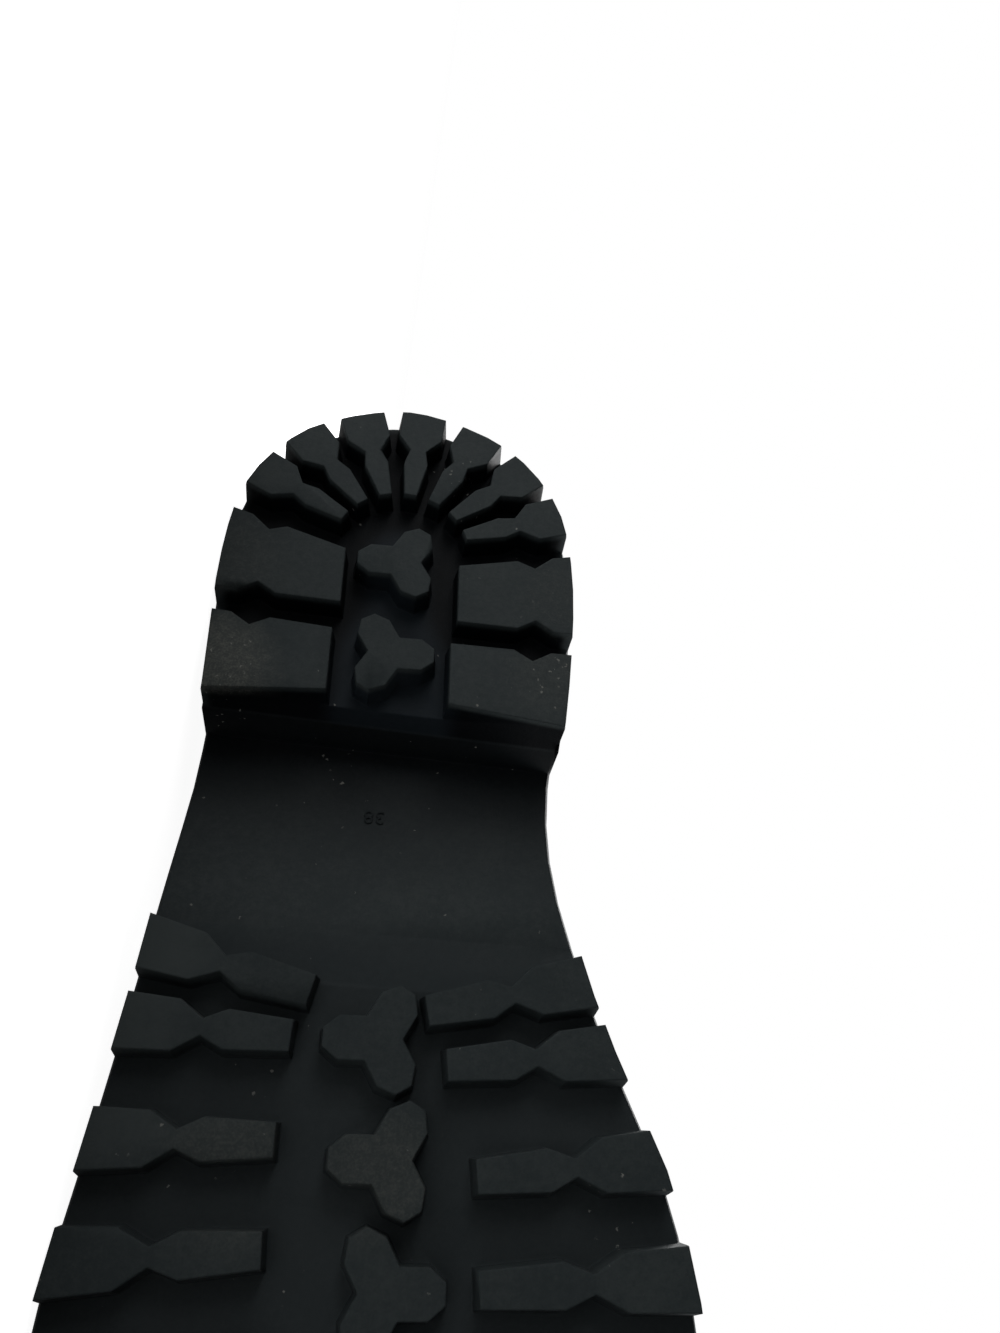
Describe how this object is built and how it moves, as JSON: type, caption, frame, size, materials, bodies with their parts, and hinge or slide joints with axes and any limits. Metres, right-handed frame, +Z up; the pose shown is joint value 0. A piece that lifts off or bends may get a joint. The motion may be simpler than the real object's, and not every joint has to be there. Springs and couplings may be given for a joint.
{
  "type": "knee-high boot",
  "caption": "Left knee-high leather boot with a hollow shaft and foot, block heel and deep lug rubber sole, lying on its outer side.",
  "frame": {"origin": "centre of the bottom of the bounding box, on the floor the boot lies on", "axes": "+X to the toe, +Y up the shaft from sole to collar, +Z up from the floor to the inner side of the foot"},
  "size_m": [0.293, 0.4304, 0.109],
  "materials": {
    "outsole": "matt moulded rubber",
    "insole": "matt felt board",
    "upper": "smooth black leather, semi-matt",
    "heel_counter": "smooth black leather, semi-matt",
    "back_strip": "smooth black leather, semi-matt",
    "collar_band": "smooth black leather, semi-matt"
  },
  "bodies": {
    "root": {"outsole": "outsole", "insole": "insole", "upper": "upper", "heel_counter": "heel_counter", "back_strip": "back_strip", "collar_band": "collar_band"}
  },
  "joints": []
}
